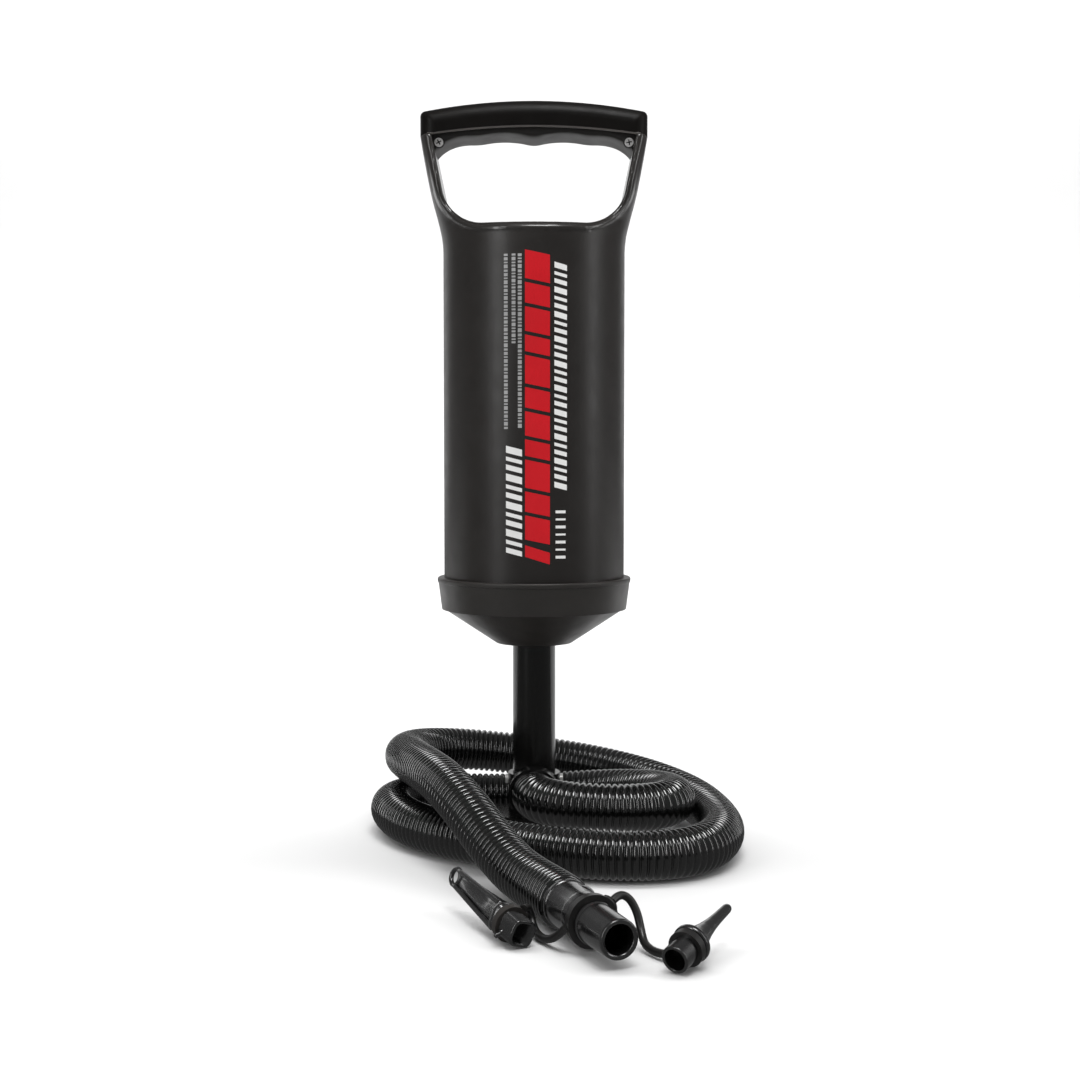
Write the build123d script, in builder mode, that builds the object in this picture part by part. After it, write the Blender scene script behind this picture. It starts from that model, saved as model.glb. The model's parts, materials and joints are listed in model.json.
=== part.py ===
"""Double-action hand pump: a cylinder with a D handle that slides on a hollow rod.

Frame: the origin is on the floor under the rod, +Z runs up the rod and -Y is the front.
All lengths are in millimetres.
"""

from build123d import *
from math import pi, radians, tan
import os

os.makedirs("parts", exist_ok=True)

# ---------------------------------------------------------------- driving dimensions
BODY_R = 44.0  # outside of the cylinder
BORE_R = 41.8  # inside of the cylinder
ROD_R = 10.5
ROD_BORE_R = 8.0
FIT = 0.06  # radial clearance of a running fit

# Heights at rest, in the order they stand on the rod.
PAD_T = 2.0
FOOT_TOP = 8.0
ROD_FOOT = 10.0
ELBOW_TOP = 31.0
OUTLET_Z = 24.0
OUTLET_R = 6.5
CONE_FOOT = 95.5
COLLAR_FOOT = 112.3
SHELL_FOOT = 115.0
CHAMBER_FOOT = 116.0
COLLAR_TOP = 127.7
PISTON_FOOT = 195.0
PISTON_TOP = 221.0
FLARE_FOOT = 284.0
CHAMBER_TOP = 287.2
DECK_TOP = 295.8
GRIP_TOP = 356.1

# Handle
GRIP_HALF = 54.3
GRIP_DEPTH = 33.0
GRIP_END_DROP = 5.4
SHELL_END_DROP = 4.4
GRIP_SEAM = 343.4  # where the grip cap meets the insert, at the middle
INSERT_DEPTH = 26.0
WINDOW_HALF = 39.9  # half width of the hand opening at the deck
WINDOW_SLOPE = 0.2  # how far each side leans out per unit of height
WINDOW_CORNER = 14.0
WINDOW_RISE = 70.0  # the cut's height, past the seam
BEYOND = 60.0  # half the length of a cut that goes right through the body
OVERHEAD = 380.0  # a height above the whole pump
ASIDE = 80.0  # a distance to the side of the whole pump

# Valves
DISC_T = 1.2
DISC_LIFT = 1.2
PLATE_T = 4.0

# Hose and what is on it
HOSE_R = 11.0
HOSE_BORE_R = 9.0
SNOUT_REACH = 15.0
CUFF_R = 9.4
CUFF_L = 24.0
NOZZLE_R = 8.2
NOZZLE_L = 27.0
NOZZLE_BORE_R = 5.4
NECK_R = 7.8
NECK_L = 3.8
ADAPTOR_R = 5.35  # both adaptors slide into the nozzle's bore
STRAP_R = 1.6

# The hose's route, as corners of straight runs: out of the elbow towards the front,
# round a small loop, round the floor, up over the first turn and down to the front.
HOSE_ROUTE = [
    (0, -15, 24),
    (0, -27, 24),
    (7, -37.5, 24),
    (20, -43.5, 23.6),
    (42, -44.5, 22.8),
    (62.5, -36.5, 22.4),
    (68.8, -15.5, 21.6),
    (61.5, 8, 19.2),
    (42, 26, 16),
    (14, 35, 13),
    (-13, 36, 11.2),
    (-38, 37.5, 11.2),
    (-60, 35, 11.2),
    (-72.5, 18, 11.2),
    (-68, -8, 11.2),
    (-52, -37, 11.2),
    (-22, -61, 11.2),
    (10, -79, 11.2),
    (46, -88, 11.2),
    (75, -77, 11.2),
    (88.5, -47, 11.2),
    (88.5, -10, 11.2),
    (80, 23, 13.5),
    (58, 50, 17.5),
    (28, 65, 22),
    (-4, 71.5, 25.5),
    (-36, 71, 29),
    (-60, 56, 32),
    (-67, 28, 34.5),
    (-60, 0, 36.2),
    (-51, -26, 37),
    (-42, -50, 36.5),
    (-31, -74, 31),
    (-18.5, -97, 20.3),
    (-8, -115.5, 13.4),
    (0.3, -130, 11.4),
    (7, -143, 11.2),
    (12.7, -157, 11.2),
]
RIGHT_STRAP_ROUTE = [
    (30.3, -177.6, 17.8),
    (33, -174.4, 19.8),
    (37, -173.4, 18),
    (39.9, -174.8, 13),
    (41.1, -177.6, 7.4),
    (42, -182, 3.2),
    (44.3, -187.6, 2.2),
    (47.8, -192.8, 2.4),
    (51.6, -197.5, 3.6),
]
LEFT_STRAP_ROUTE = [
    (12.9, -185.5, 10.3),
    (9.4, -181.6, 5.4),
    (5.7, -176.2, 2.4),
    (2.4, -170.3, 2.2),
    (0.4, -164.2, 3.4),
    (-0.7, -160.8, 7.5),
    (-2.2, -163.3, 11.8),
    (-3.5, -168.9, 12.2),
]
# Each adaptor lies along a line from its socket's mouth to its tip.
PIN_ADAPTOR = ((51.2, -209.5, 5.6), (74.7, -175.5, 15.0))
LOOP_ADAPTOR = ((-3.5, -180.4, 5.8), (-33.5, -127.7, 15.0))


# ---------------------------------------------------------------- helpers
def finish(solid, name):
    """Label a finished piece and write it to its STEP file."""
    solid.label = name
    export_step(solid, f"parts/{name}.step")


def corner_radii(route):
    """The largest arc each corner of a route has room for."""
    points = [Vector(*p) for p in route]
    radii = []
    for before, here, after in zip(points, points[1:], points[2:]):
        run_in, run_out = here - before, after - here
        half_turn = radians(run_in.get_angle(run_out) / 2)
        radii.append(0.45 * min(run_in.length, run_out.length) / tan(half_turn))
    return radii


def cord(route, radius, name, bore=0.0):
    """A round cord or tube: straight runs joined by arcs, swept with its section."""
    radii = corner_radii(route)
    with BuildPart() as piece:
        with BuildLine() as path:
            FilletPolyline(*route, radius=radii)
        spine = path.wire()
        with BuildSketch(Plane(origin=spine @ 0, z_dir=spine % 0)):
            Circle(radius)
            if bore:
                Circle(bore, mode=Mode.SUBTRACT)
        sweep(path=spine)
    filled = piece.part.volume / (pi * (radius**2 - bore**2) * spine.length)
    print(f"{name}: length {spine.length:.1f}, volume over section times length {filled:.4f}")
    print(f"{name}: radii {[round(r, 1) for r in radii]}")
    finish(piece.part, name)


def line_plane(ends):
    """A plane at the first end whose normal points at the second, and the distance."""
    start, stop = Vector(*ends[0]), Vector(*ends[1])
    return Plane(origin=start, z_dir=stop - start), (stop - start).length


def ring(outer, inner, foot, top, name):
    """A plain ring or washer about the rod's axis."""
    with BuildPart() as piece:
        with BuildSketch(Plane.XY.offset(foot)):
            Circle(outer)
            Circle(inner, mode=Mode.SUBTRACT)
        extrude(amount=top - foot)
    finish(piece.part, name)


def seam_arc(rise=0.0):
    """End and middle points of the grip seam, raised by rise."""
    return (
        (-GRIP_HALF, GRIP_SEAM - SHELL_END_DROP + rise),
        (0, GRIP_SEAM + rise),
        (GRIP_HALF, GRIP_SEAM - SHELL_END_DROP + rise),
    )


# ---------------------------------------------------------------- foot and elbow
FOOT_R = 22.0
FOOT_SCREW_RING = 16.5
FOOT_SCREW_ANGLE = 30.0
THREAD_R = 1.2  # shank of every small screw
LOCK_Z = 27.5
FLANGE_T = 3.5
SOCKET_R = ROD_R + 2.2

with BuildPart() as foot_pad:
    with BuildSketch():
        Circle(FOOT_R - 0.5)
    extrude(amount=PAD_T)
    chamfer(foot_pad.edges().group_by(Axis.Z)[0], 0.5)
finish(foot_pad.part, "foot_pad")

with BuildPart() as foot_base:
    with BuildSketch(Plane.XY.offset(PAD_T)):
        Circle(FOOT_R)
    extrude(amount=FOOT_TOP - PAD_T)
    fillet(foot_base.edges().group_by(Axis.Z)[-1], 2.0)
    with Locations(Plane.XY.offset(PAD_T)):
        with PolarLocations(FOOT_SCREW_RING, 3, FOOT_SCREW_ANGLE):
            Cylinder(1.6, 20, mode=Mode.SUBTRACT)
            Cylinder(3.0, 5.0, mode=Mode.SUBTRACT)
finish(foot_base.part, "foot_base")

with BuildPart() as elbow_fitting:
    with BuildSketch(Plane.XY.offset(FOOT_TOP)):
        Circle(FOOT_R - 2.2)
    extrude(amount=FLANGE_T)
    with BuildSketch(Plane.XY.offset(FOOT_TOP)):
        Circle(SOCKET_R)
    extrude(amount=ELBOW_TOP - FOOT_TOP)
    with BuildSketch(Plane.XZ):
        with Locations((0, OUTLET_Z)):
            Circle(HOSE_R + 0.8)
    extrude(amount=SNOUT_REACH)
    fillet(elbow_fitting.faces().sort_by(Axis.Y)[0].edges(), 0.8)
    with BuildSketch(Plane.XY.offset(ROD_FOOT)):
        Circle(ROD_R)
    extrude(amount=ELBOW_TOP, mode=Mode.SUBTRACT)
    with BuildSketch(Plane.XZ):
        with Locations((0, OUTLET_Z)):
            Circle(OUTLET_R)
    extrude(amount=SNOUT_REACH, mode=Mode.SUBTRACT)
    with Locations(Plane.XY.offset(FOOT_TOP)):
        with PolarLocations(FOOT_SCREW_RING, 3, FOOT_SCREW_ANGLE):
            Cylinder(THREAD_R, 6.0, mode=Mode.SUBTRACT)
    with Locations((0, 0, LOCK_Z)):
        Cylinder(THREAD_R, BEYOND, rotation=(0, 90, 0), mode=Mode.SUBTRACT)
finish(elbow_fitting.part, "elbow_fitting")

with BuildPart() as foot_screws:
    with PolarLocations(FOOT_SCREW_RING, 3, FOOT_SCREW_ANGLE):
        with Locations((0, 0, PAD_T)):
            Cylinder(2.8, 2.5, align=(Align.CENTER, Align.CENTER, Align.MIN))
            Cylinder(THREAD_R, 8.8, align=(Align.CENTER, Align.CENTER, Align.MIN))
finish(foot_screws.part, "foot_screws")

with BuildPart() as rod_lock_screws:
    for side in (-1, 1):
        with BuildSketch(Plane.YZ.offset(side * (ROD_BORE_R + 0.2))):
            with Locations((0, LOCK_Z)):
                Circle(THREAD_R)
        extrude(amount=side * 5.0)
        with BuildSketch(Plane.YZ.offset(side * (SOCKET_R + 0.1))):
            with Locations((0, LOCK_Z)):
                Circle(2.4)
        extrude(amount=side * 1.4)
finish(rod_lock_screws.part, "rod_lock_screws")

# ---------------------------------------------------------------- rod and piston
ROD_TOP = PISTON_TOP - PLATE_T
PORT_Z = (PISTON_FOOT + PISTON_TOP) / 2
RIM_R = BORE_R - 0.5
GROOVE_R = 38.6
RIM_T = 3.0
SEAL_HALF = 3.0  # half the height of the seal's groove
HOLE_R = 3.0  # every valve hole in the piston and the end cap
VALVE_HOLE_RING = 24.0
PISTON_SCREW_RING = 34.0
PILLAR_R = 3.0
BOLT_R = 2.5
HEAD_DEPTH = 2.0
PLUG_T = 5.0

with BuildPart() as rod_tube:
    with BuildSketch(Plane.XY.offset(ROD_FOOT)):
        Circle(ROD_R)
        Circle(ROD_BORE_R, mode=Mode.SUBTRACT)
    extrude(amount=ROD_TOP - ROD_FOOT)
    with BuildSketch(Plane.XZ):
        with Locations((0, OUTLET_Z)):
            Circle(OUTLET_R)
    extrude(amount=20, mode=Mode.SUBTRACT)
    with Locations((0, 0, LOCK_Z)):
        Cylinder(THREAD_R, BEYOND, rotation=(0, 90, 0), mode=Mode.SUBTRACT)
    for turn in (0, 90):
        with Locations((0, 0, PORT_Z)):
            Cylinder(3.2, BEYOND, rotation=(90, 0, turn), mode=Mode.SUBTRACT)
finish(rod_tube.part, "rod_tube")

with BuildPart() as rod_plug:
    with BuildSketch(Plane.XY.offset(ROD_TOP - PLUG_T)):
        Circle(ROD_BORE_R)
        Circle(BOLT_R, mode=Mode.SUBTRACT)
    extrude(amount=PLUG_T)
finish(rod_plug.part, "rod_plug")

with BuildPart() as piston_lower_plate:
    with BuildSketch(Plane.XY.offset(PISTON_FOOT)):
        Circle(RIM_R)
    extrude(amount=PLATE_T)
    with BuildSketch(Plane.XY.offset(PISTON_FOOT + PLATE_T)):
        Circle(RIM_R)
        Circle(GROOVE_R - RIM_T, mode=Mode.SUBTRACT)
    extrude(amount=PORT_Z - SEAL_HALF - PISTON_FOOT - PLATE_T)
    with BuildSketch(Plane.XY.offset(PORT_Z - SEAL_HALF)):
        Circle(GROOVE_R)
        Circle(GROOVE_R - RIM_T, mode=Mode.SUBTRACT)
    extrude(amount=2 * SEAL_HALF)
    with BuildSketch(Plane.XY.offset(PISTON_FOOT + PLATE_T)):
        with PolarLocations(PISTON_SCREW_RING, 4, 45):
            Circle(PILLAR_R)
    extrude(amount=PISTON_TOP - PISTON_FOOT - 2 * PLATE_T)
    with BuildSketch(Plane.XY.offset(PISTON_FOOT)):
        Circle(ROD_R)
        with PolarLocations(VALVE_HOLE_RING, 10):
            Circle(HOLE_R)
    extrude(amount=PLATE_T, mode=Mode.SUBTRACT)
    with BuildSketch(Plane.XY.offset(PISTON_FOOT + PLATE_T)):
        with PolarLocations(PISTON_SCREW_RING, 4, 45):
            Circle(THREAD_R)
    extrude(amount=PISTON_TOP - PISTON_FOOT, mode=Mode.SUBTRACT)
    chamfer(piston_lower_plate.edges().group_by(Axis.Z)[0].sort_by(SortBy.LENGTH)[-1], 1)
finish(piston_lower_plate.part, "piston_lower_plate")

with BuildPart() as piston_upper_plate:
    with BuildSketch(Plane.XY.offset(PISTON_TOP - PLATE_T)):
        Circle(RIM_R)
    extrude(amount=PLATE_T)
    with BuildSketch(Plane.XY.offset(PORT_Z + SEAL_HALF)):
        Circle(RIM_R)
        Circle(GROOVE_R - RIM_T, mode=Mode.SUBTRACT)
        with PolarLocations(PISTON_SCREW_RING, 4, 45):
            Circle(PILLAR_R, mode=Mode.SUBTRACT)
    extrude(amount=PISTON_TOP - PLATE_T - PORT_Z - SEAL_HALF)
    with BuildSketch(Plane.XY.offset(PISTON_TOP - PLATE_T)):
        Circle(BOLT_R)
        with PolarLocations(VALVE_HOLE_RING, 10):
            Circle(HOLE_R)
        with PolarLocations(PISTON_SCREW_RING, 4, 45):
            Circle(THREAD_R)
    extrude(amount=PLATE_T, mode=Mode.SUBTRACT)
    with BuildSketch(Plane.XY.offset(PISTON_TOP - HEAD_DEPTH)):
        Circle(5.2)
        with PolarLocations(PISTON_SCREW_RING, 4, 45):
            Circle(2.6)
    extrude(amount=HEAD_DEPTH, mode=Mode.SUBTRACT)
finish(piston_upper_plate.part, "piston_upper_plate")

with BuildPart() as piston_seal:
    with BuildSketch(Plane.XZ):
        with Locations(((GROOVE_R + BORE_R - FIT) / 2, PORT_Z)):
            RectangleRounded(BORE_R - FIT - GROOVE_R, 2 * SEAL_HALF - 0.2, 1.4)
    revolve(axis=Axis.Z)
finish(piston_seal.part, "piston_seal")

with BuildPart() as piston_screws:
    for down, radius, length in ((HEAD_DEPTH, 2.5, 1.8), (17, THREAD_R, 15.5)):
        with BuildSketch(Plane.XY.offset(PISTON_TOP - down)):
            with PolarLocations(PISTON_SCREW_RING, 4, 45):
                Circle(radius)
        extrude(amount=length)
finish(piston_screws.part, "piston_screws")

with BuildPart() as piston_bolt:
    with BuildSketch(Plane.XY.offset(ROD_TOP - PLUG_T)):
        Circle(BOLT_R)
    extrude(amount=PLUG_T + PLATE_T - 1)
    with BuildSketch(Plane.XY.offset(PISTON_TOP - HEAD_DEPTH)):
        Circle(5)
    extrude(amount=1.8)
finish(piston_bolt.part, "piston_bolt")

PLENUM_FOOT = PISTON_FOOT + PLATE_T
PLENUM_TOP = PISTON_TOP - PLATE_T
PISTON_DISC_R = 30.0
ring(PISTON_DISC_R, ROD_R + 0.4, PLENUM_FOOT, PLENUM_FOOT + DISC_T, "piston_lower_disc")
ring(PISTON_DISC_R, ROD_R + 0.4, PLENUM_TOP - DISC_T - DISC_LIFT, PLENUM_TOP - DISC_LIFT,
     "piston_upper_disc")
STOP_GAP = DISC_T + DISC_LIFT + 0.1
STOP_T = 1.2
ring(ROD_R + 3, ROD_R, PLENUM_FOOT + STOP_GAP, PLENUM_FOOT + STOP_GAP + STOP_T,
     "piston_lower_disc_stop")
ring(ROD_R + 3, ROD_R, PLENUM_TOP - STOP_GAP - STOP_T, PLENUM_TOP - STOP_GAP,
     "piston_upper_disc_stop")

# ---------------------------------------------------------------- cylinder end cap
CAP_SKIN = 3.0
CONE_TIP_R = 18.7
BUSH_R = 13.0
BOSS_R = 14.8
COLLAR_R = 47.0
CAP_HOLE_RING = 26.0
VENT_RING = 16.8
VENT_R = 1.3
CONE_SLOPE = (COLLAR_FOOT - CONE_FOOT) / (BODY_R - CONE_TIP_R)
CAP_FLOOR_T = 4.0
CAVITY_TOP = CHAMBER_FOOT - CAP_FLOOR_T
CAVITY_R = CONE_TIP_R + (CAVITY_TOP - CONE_FOOT - CAP_SKIN) / CONE_SLOPE

with BuildPart() as end_cap:
    with BuildSketch(Plane.XZ):
        with BuildLine():
            Polyline(
                (BUSH_R + FIT, CONE_FOOT),
                (CONE_TIP_R, CONE_FOOT),
                (BODY_R, COLLAR_FOOT),
                (COLLAR_R - 1.8, COLLAR_FOOT),
                (COLLAR_R, COLLAR_TOP - 1.2),
                (COLLAR_R - 0.8, COLLAR_TOP),
                (BODY_R, COLLAR_TOP),
                (BODY_R, SHELL_FOOT - 1),
                (BORE_R - 0.1, SHELL_FOOT - 1),
                (BORE_R - 0.1, CHAMBER_FOOT),
                (BOSS_R, CHAMBER_FOOT),
                (BOSS_R, CHAMBER_FOOT + STOP_GAP + STOP_T),
                (BUSH_R + FIT, CHAMBER_FOOT + STOP_GAP + STOP_T),
                close=True,
            )
        make_face()
        with BuildLine():
            Polyline(
                (BOSS_R, CONE_FOOT + CAP_SKIN),
                (CONE_TIP_R, CONE_FOOT + CAP_SKIN),
                (CAVITY_R, CAVITY_TOP),
                (BOSS_R, CAVITY_TOP),
                close=True,
            )
        make_face(mode=Mode.SUBTRACT)
    revolve(axis=Axis.Z)
    with BuildSketch(Plane.XY.offset(CONE_FOOT)):
        with PolarLocations(VENT_RING, 12):
            Circle(VENT_R)
    extrude(amount=CAP_SKIN, mode=Mode.SUBTRACT)
    with BuildSketch(Plane.XY.offset(CAVITY_TOP)):
        with PolarLocations(CAP_HOLE_RING, 10):
            Circle(HOLE_R)
    extrude(amount=CAP_FLOOR_T, mode=Mode.SUBTRACT)
finish(end_cap.part, "end_cap")

ring(BODY_R - 0.05, BORE_R + 0.05, SHELL_FOOT - 1, SHELL_FOOT, "cap_gasket")
ring(34.0, BOSS_R + 0.4, CHAMBER_FOOT, CHAMBER_FOOT + DISC_T, "lower_intake_disc")
ring(BOSS_R + 3, BOSS_R, CHAMBER_FOOT + STOP_GAP, CHAMBER_FOOT + STOP_GAP + STOP_T,
     "lower_intake_disc_stop")

BUSH_TOP = CHAMBER_FOOT - 2
ring(BUSH_R, ROD_R + FIT, CONE_FOOT, BUSH_TOP, "rod_bush")
ring(BUSH_R, ROD_R + FIT, BUSH_TOP, CHAMBER_FOOT + STOP_GAP, "rod_seal")

# ---------------------------------------------------------------- cylinder and handle
# Half widths and half depths of the flare, as the body narrows into the handle.
FLARE = (
    (FLARE_FOOT, BODY_R, BODY_R),
    (292.0, 44.6, 43.4),
    (300.0, 46.2, 41.6),
    (310.0, 48.4, 37.4),
    (321.0, 50.3, 31.0),
    (334.0, 52.8, 22.4),
    (350.0, 55.6, 15.5),
)
INTAKE_RING = 20.0
INTAKE_HOLE_R = 2.6
HANGER_R = 5.0  # boss that the upper intake disc hangs on


def window_corners():
    """Corners of the hand opening, from its upper left round to its upper right."""
    lean = WINDOW_SLOPE * WINDOW_RISE
    return (
        (-WINDOW_HALF - lean, DECK_TOP + WINDOW_RISE),
        (-WINDOW_HALF, DECK_TOP),
        (WINDOW_HALF, DECK_TOP),
        (WINDOW_HALF + lean, DECK_TOP + WINDOW_RISE),
    )


# everything above the grip seam, seen from the front
with BuildSketch() as over_seam:
    left, middle, right = seam_arc()
    with BuildLine():
        ThreePointArc(left, middle, right)
        Polyline(right, (ASIDE, right[1]), (ASIDE, OVERHEAD), (-ASIDE, OVERHEAD), (-ASIDE, left[1]), left)
    make_face()

with BuildPart() as cylinder_shell:
    for z, half_width, half_depth in FLARE:
        with BuildSketch(Plane.XY.offset(z)):
            Ellipse(half_width, half_depth)
    loft()
    with BuildSketch(Plane.XY.offset(SHELL_FOOT)):
        Circle(BODY_R)
    extrude(amount=FLARE_FOOT - SHELL_FOOT)
    # above the seam the grip cap takes over
    with BuildSketch(Plane.XZ.offset(-BEYOND)):
        add(over_seam.sketch)
    extrude(amount=2 * BEYOND, mode=Mode.SUBTRACT)
    # the hand opening, which runs right up to the seam
    with BuildSketch(Plane.XZ.offset(-BEYOND)):
        with BuildLine():
            FilletPolyline(*window_corners(), radius=WINDOW_CORNER)
            Line(window_corners()[-1], window_corners()[0])
        make_face()
    extrude(amount=2 * BEYOND, mode=Mode.SUBTRACT)
    with BuildSketch(Plane.XY.offset(SHELL_FOOT)):
        Circle(BORE_R)
    extrude(amount=CHAMBER_TOP - SHELL_FOOT, mode=Mode.SUBTRACT)
    with BuildSketch(Plane.XY.offset(CHAMBER_TOP)):
        with PolarLocations(INTAKE_RING, 8):
            Circle(INTAKE_HOLE_R)
    extrude(amount=DECK_TOP - CHAMBER_TOP, mode=Mode.SUBTRACT)
    with BuildSketch(Plane.XY.offset(CHAMBER_TOP - STOP_GAP)):
        Circle(HANGER_R)
    extrude(amount=STOP_GAP)
    with BuildSketch(Plane.XY.offset(CHAMBER_TOP - STOP_GAP)):
        Circle(THREAD_R)
    extrude(amount=6, mode=Mode.SUBTRACT)
finish(cylinder_shell.part, "cylinder_shell")

ring(30.0, HANGER_R + 0.4, CHAMBER_TOP - DISC_T - DISC_LIFT, CHAMBER_TOP - DISC_LIFT,
     "upper_intake_disc")
ring(9.0, THREAD_R, CHAMBER_TOP - STOP_GAP - STOP_T, CHAMBER_TOP - STOP_GAP,
     "upper_intake_disc_stop")
with BuildPart() as intake_screw:
    with BuildSketch(Plane.XY.offset(CHAMBER_TOP - STOP_GAP - STOP_T)):
        Circle(THREAD_R)
    extrude(amount=7)
    with BuildSketch(Plane.XY.offset(CHAMBER_TOP - STOP_GAP - 3)):
        Circle(2.6)
    extrude(amount=1.8)
finish(intake_screw.part, "intake_screw")

with BuildPart() as grip_cap:
    cap_end = GRIP_TOP - GRIP_END_DROP
    with BuildSketch(Plane.XZ.offset(-GRIP_DEPTH / 2)):
        with BuildLine():
            ThreePointArc(*seam_arc())
            Line(seam_arc()[2], (GRIP_HALF, cap_end))
            ThreePointArc((GRIP_HALF, cap_end), (0, GRIP_TOP), (-GRIP_HALF, cap_end))
            Line((-GRIP_HALF, cap_end), seam_arc()[0])
        make_face()
    extrude(amount=GRIP_DEPTH)
    fillet(grip_cap.faces().sort_by(Axis.Z)[-1].edges().filter_by(Axis.Y), 2.5)
    fillet(grip_cap.faces().sort_by(Axis.Z)[-1].edges(), 7.5)
finish(grip_cap.part, "grip_cap")

# Half of the insert's underside: a cusp in the middle, then two finger recesses.
RECESSES = (
    ((0, 338.0), (12, 340.3), (25.5, 338.6)),
    ((25.5, 338.6), (36, 338.0), (48.0, 330.2)),
)
GRIP_SCREWS = ((-45.3, 336.0), (45.3, 336.0))
SCREW_SINK = 1.5  # depth of the counterbores
BELOW_GRIP = 280.0  # a height under the whole insert

with BuildPart() as grip_insert:
    with BuildSketch(Plane.XZ.offset(-INSERT_DEPTH / 2)):
        with BuildLine():
            Polyline(*window_corners(), close=True)
        make_face()
        add(over_seam.sketch, mode=Mode.SUBTRACT)
        with BuildLine():
            for low, middle, end in RECESSES:
                ThreePointArc(low, middle, end)
                ThreePointArc(*((-x, z) for x, z in (low, middle, end)))
            last = RECESSES[-1][-1]
            Polyline(last, (ASIDE, last[1]), (ASIDE, BELOW_GRIP), (-ASIDE, BELOW_GRIP),
                     (-ASIDE, last[1]), (-last[0], last[1]))
        make_face(mode=Mode.SUBTRACT)
    extrude(amount=INSERT_DEPTH)
    for radius, depth in ((THREAD_R, 12.0), (2.3, SCREW_SINK)):
        with BuildSketch(Plane.XZ.offset(INSERT_DEPTH / 2)):
            with Locations(*GRIP_SCREWS):
                Circle(radius)
        extrude(amount=-depth, mode=Mode.SUBTRACT)
finish(grip_insert.part, "grip_insert")

with BuildPart() as grip_screws:
    for depth, radius, length in ((SCREW_SINK, 2.1, 1.3), (11.5, THREAD_R, 10.2)):
        with BuildSketch(Plane.XZ.offset(INSERT_DEPTH / 2 - depth)):
            with Locations(*GRIP_SCREWS):
                Circle(radius)
        extrude(amount=length)
finish(grip_screws.part, "grip_screws")

# ---------------------------------------------------------------- hose and its pieces
cord(HOSE_ROUTE, HOSE_R, "hose", HOSE_BORE_R)
with BuildPart() as hose_clamp_ring:
    with BuildSketch(Plane.XZ.offset(SNOUT_REACH)):
        with Locations((0, OUTLET_Z)):
            Circle(HOSE_R + 1.2)
            Circle(HOSE_R, mode=Mode.SUBTRACT)
    extrude(amount=5)
finish(hose_clamp_ring.part, "hose_clamp_ring")

hose_end = Vector(*HOSE_ROUTE[-1])
hose_way = (hose_end - Vector(*HOSE_ROUTE[-2])).normalized()
along = Plane(origin=hose_end, z_dir=hose_way)

with BuildPart() as hose_end_cuff:
    with BuildSketch(along):
        Circle(CUFF_R + 0.6)
    extrude(amount=3)
    with BuildSketch(along):
        Circle(CUFF_R)
    extrude(amount=CUFF_L)
    with BuildSketch(along):
        Circle(OUTLET_R)
    extrude(amount=CUFF_L, mode=Mode.SUBTRACT)
finish(hose_end_cuff.part, "hose_end_cuff")

with BuildPart() as outlet_nozzle:
    with BuildSketch(along.offset(CUFF_L)):
        Circle(NECK_R)
    extrude(amount=NECK_L)
    with BuildSketch(along.offset(CUFF_L + NECK_L)):
        Circle(NOZZLE_R)
    extrude(amount=NOZZLE_L - NECK_L)
    fillet(outlet_nozzle.edges().sort_by(Axis(hose_end, hose_way))[-1], 0.8)
    with BuildSketch(along.offset(CUFF_L)):
        Circle(NOZZLE_BORE_R)
    extrude(amount=NOZZLE_L, mode=Mode.SUBTRACT)
finish(outlet_nozzle.part, "outlet_nozzle")

with BuildPart() as strap_ring:
    with BuildSketch(along.offset(CUFF_L + 0.2)):
        Circle(NOZZLE_R + 2.2)
        Circle(NECK_R, mode=Mode.SUBTRACT)
    extrude(amount=NECK_L - 0.4)
finish(strap_ring.part, "strap_ring")

cord(RIGHT_STRAP_ROUTE, STRAP_R, "right_strap")
cord(LEFT_STRAP_ROUTE, STRAP_R, "left_strap")

ADAPTOR_RIM_R = 6.0
ADAPTOR_RIM_T = 2.0
PIN_BARREL = 12.0
PIN_TIP = 9.0  # the straight end of the pin
pin_plane, pin_length = line_plane(PIN_ADAPTOR)
with BuildPart() as pin_adaptor:
    with BuildSketch(pin_plane):
        Circle(ADAPTOR_R)
    extrude(amount=PIN_BARREL)
    with BuildSketch(pin_plane.offset(PIN_BARREL)):
        Circle(ADAPTOR_RIM_R)
    extrude(amount=ADAPTOR_RIM_T)
    with BuildSketch(pin_plane.offset(PIN_BARREL + ADAPTOR_RIM_T)):
        Circle(4.6)
    with BuildSketch(pin_plane.offset(pin_length - PIN_TIP)):
        Circle(2.0)
    loft()
    with BuildSketch(pin_plane.offset(pin_length - PIN_TIP)):
        Circle(1.7)
    extrude(amount=PIN_TIP)
    for radius, depth in ((4.0, PIN_BARREL + 1), (0.9, pin_length)):
        with BuildSketch(pin_plane):
            Circle(radius)
        extrude(amount=depth, mode=Mode.SUBTRACT)
finish(pin_adaptor.part, "pin_adaptor")

with BuildPart() as pin_adaptor_ring:
    with BuildSketch(pin_plane.offset(8)):
        Circle(7.0)
        Circle(ADAPTOR_R, mode=Mode.SUBTRACT)
    extrude(amount=3)
finish(pin_adaptor_ring.part, "pin_adaptor_ring")

loop_plane, loop_length = line_plane(LOOP_ADAPTOR)
EYE_R = 3.6
LOOP_BARREL = 15.0
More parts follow.
